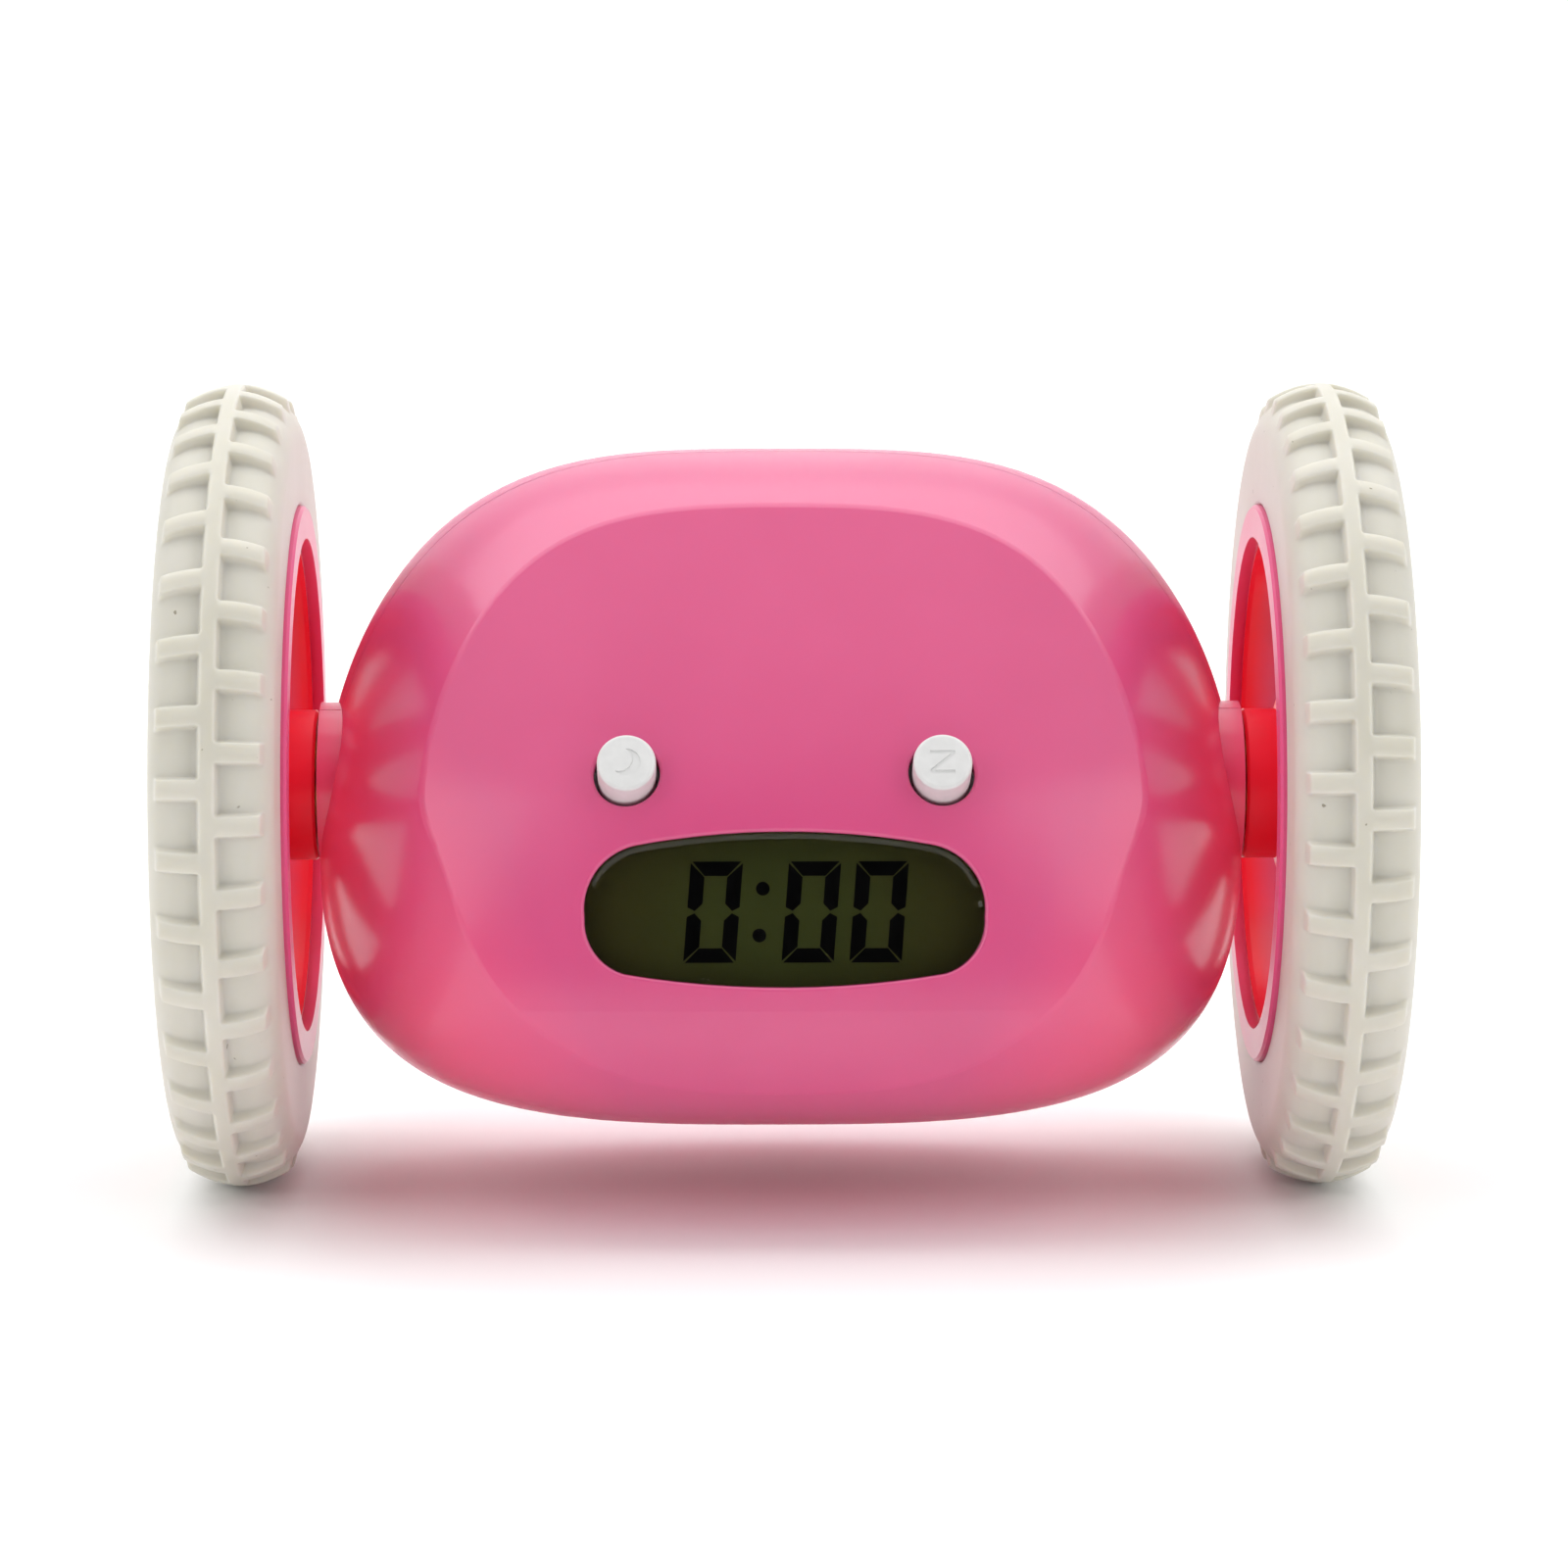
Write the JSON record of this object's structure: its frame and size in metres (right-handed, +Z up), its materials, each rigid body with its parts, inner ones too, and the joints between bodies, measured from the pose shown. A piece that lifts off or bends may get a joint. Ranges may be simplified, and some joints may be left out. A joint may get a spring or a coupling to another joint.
{
  "type": "runaway alarm clock",
  "caption": "Rolling alarm clock: rounded case with a display and push buttons hung between large treaded wheels, each driven by its own motor and gears.",
  "frame": {"origin": "floor level, midway between the tyres under the axle line", "axes": "+X along the axle to the right seen from the front, -Y the way the display faces, +Z up"},
  "size_m": [0.133, 0.089, 0.089],
  "materials": {
    "case_plastic": "gloss",
    "rim_plastic": "gloss",
    "white_plastic": "satin",
    "tyre_rubber": "satin",
    "clear_lens": "gloss",
    "lcd_glass": "gloss",
    "lcd_black": "matt",
    "black_plastic": "matt",
    "grey_rubber": "matt",
    "circuit_board": "satin",
    "screw_steel": "satin",
    "spring_steel": "satin",
    "speaker_frame": "matt",
    "magnet": "satin",
    "cell_can": "satin",
    "motor_can": "satin",
    "gear_nylon": "satin",
    "brass_pinion": "satin",
    "brass_bush": "satin"
  },
  "bodies": {
    "case": {"back_shell": "case_plastic", "battery_cells": "cell_can", "battery_contacts": "spring_steel", "battery_springs": "spring_steel", "battery_tray": "black_plastic", "board_screws": "screw_steel", "bush_left": "brass_bush", "bush_right": "brass_bush", "button_board": "circuit_board", "case_screws": "screw_steel", "controller_blob": "black_plastic", "display_connector": "grey_rubber", "display_frame": "black_plastic", "display_glass": "lcd_glass", "display_lens": "clear_lens", "display_segments": "lcd_black", "frame_screws": "screw_steel", "front_shell": "case_plastic", "front_switches": "black_plastic", "gear_frame_left": "white_plastic", "gear_frame_right": "white_plastic", "idler_pin_left": "screw_steel", "idler_pin_right": "screw_steel", "key_boards": "circuit_board", "key_switches": "black_plastic", "main_board": "circuit_board", "motor_left": "motor_can", "motor_right": "motor_can", "speaker": "speaker_frame", "speaker_magnet": "magnet"},
    "wheel_right": {"rim_right": "rim_plastic", "tyre_right": "tyre_rubber", "axle_right": "screw_steel", "output_gear_right": "gear_nylon", "wheel_screw_right": "screw_steel", "hub_cap_right": "rim_plastic"},
    "idler_right": {"idler_gear_right": "gear_nylon"},
    "rotor_right": {"motor_shaft_right": "screw_steel", "motor_pinion_right": "brass_pinion"},
    "wheel_left": {"rim_left": "rim_plastic", "tyre_left": "tyre_rubber", "axle_left": "screw_steel", "output_gear_left": "gear_nylon", "wheel_screw_left": "screw_steel", "hub_cap_left": "rim_plastic"},
    "idler_left": {"idler_gear_left": "gear_nylon"},
    "rotor_left": {"motor_shaft_left": "screw_steel", "motor_pinion_left": "brass_pinion"},
    "alarm_button": {"alarm_button": "white_plastic"},
    "snooze_button": {"snooze_button": "white_plastic"},
    "hour_key": {"hour_key": "white_plastic"},
    "minute_key": {"minute_key": "white_plastic"},
    "snooze_key": {"snooze_key": "white_plastic"},
    "time_key": {"time_key": "white_plastic"},
    "alarm_key": {"alarm_key": "white_plastic"},
    "run_key": {"run_key": "white_plastic"},
    "door": {"battery_door": "case_plastic"}
  },
  "joints": [
    {"name": "wheel_spin_right", "type": "hinge", "parent": "case", "child": "wheel_right", "pos_m": [0.06, 0, 0.0445], "axis": [1, 0, 0], "continuous": true},
    {"name": "idler_spin_right", "type": "hinge", "parent": "case", "child": "idler_right", "pos_m": [0.035, 0.00929, 0.05286], "axis": [1, 0, 0], "continuous": true},
    {"name": "rotor_spin_right", "type": "hinge", "parent": "case", "child": "rotor_right", "pos_m": [0.035, 0.00304, 0.06369], "axis": [1, 0, 0], "continuous": true},
    {"name": "wheel_spin_left", "type": "hinge", "parent": "case", "child": "wheel_left", "pos_m": [-0.06, 0, 0.0445], "axis": [1, 0, 0], "continuous": true},
    {"name": "idler_spin_left", "type": "hinge", "parent": "case", "child": "idler_left", "pos_m": [-0.035, 0.00929, 0.05286], "axis": [1, 0, 0], "continuous": true},
    {"name": "rotor_spin_left", "type": "hinge", "parent": "case", "child": "rotor_left", "pos_m": [-0.035, 0.00304, 0.06369], "axis": [1, 0, 0], "continuous": true},
    {"name": "alarm_button_press", "type": "slide", "parent": "case", "child": "alarm_button", "axis": [0, 0.8829, -0.4695], "range_m": [0, 0.0007], "stiffness_N_per_m": 300, "springref_m": -0.0005},
    {"name": "snooze_button_press", "type": "slide", "parent": "case", "child": "snooze_button", "axis": [0, 0.8829, -0.4695], "range_m": [0, 0.0007], "stiffness_N_per_m": 300, "springref_m": -0.0005},
    {"name": "hour_key_press", "type": "slide", "parent": "case", "child": "hour_key", "axis": [0, -0.9903, 0.1392], "range_m": [0, 0.0005], "stiffness_N_per_m": 300, "springref_m": -0.0005},
    {"name": "minute_key_press", "type": "slide", "parent": "case", "child": "minute_key", "axis": [0, -0.9903, 0.1392], "range_m": [0, 0.0005], "stiffness_N_per_m": 300, "springref_m": -0.0005},
    {"name": "snooze_key_press", "type": "slide", "parent": "case", "child": "snooze_key", "axis": [0, -0.9903, 0.1392], "range_m": [0, 0.0005], "stiffness_N_per_m": 300, "springref_m": -0.0005},
    {"name": "time_key_press", "type": "slide", "parent": "case", "child": "time_key", "axis": [0, -0.9903, 0.1392], "range_m": [0, 0.0005], "stiffness_N_per_m": 300, "springref_m": -0.0005},
    {"name": "alarm_key_press", "type": "slide", "parent": "case", "child": "alarm_key", "axis": [0, -0.9903, 0.1392], "range_m": [0, 0.0005], "stiffness_N_per_m": 300, "springref_m": -0.0005},
    {"name": "run_key_press", "type": "slide", "parent": "case", "child": "run_key", "axis": [0, -0.9903, 0.1392], "range_m": [0, 0.0005], "stiffness_N_per_m": 300, "springref_m": -0.0005},
    {"name": "door_lift", "type": "slide", "parent": "case", "child": "door", "axis": [0, -0.1392, -0.9903], "range_m": [0, 0.03]}
  ],
  "couplings": [
    {"joint": "idler_spin_right", "follows": "wheel_spin_right", "ratio": -3.1667},
    {"joint": "rotor_spin_right", "follows": "wheel_spin_right", "ratio": 10.028},
    {"joint": "idler_spin_left", "follows": "wheel_spin_left", "ratio": -3.1667},
    {"joint": "rotor_spin_left", "follows": "wheel_spin_left", "ratio": 10.028}
  ]
}
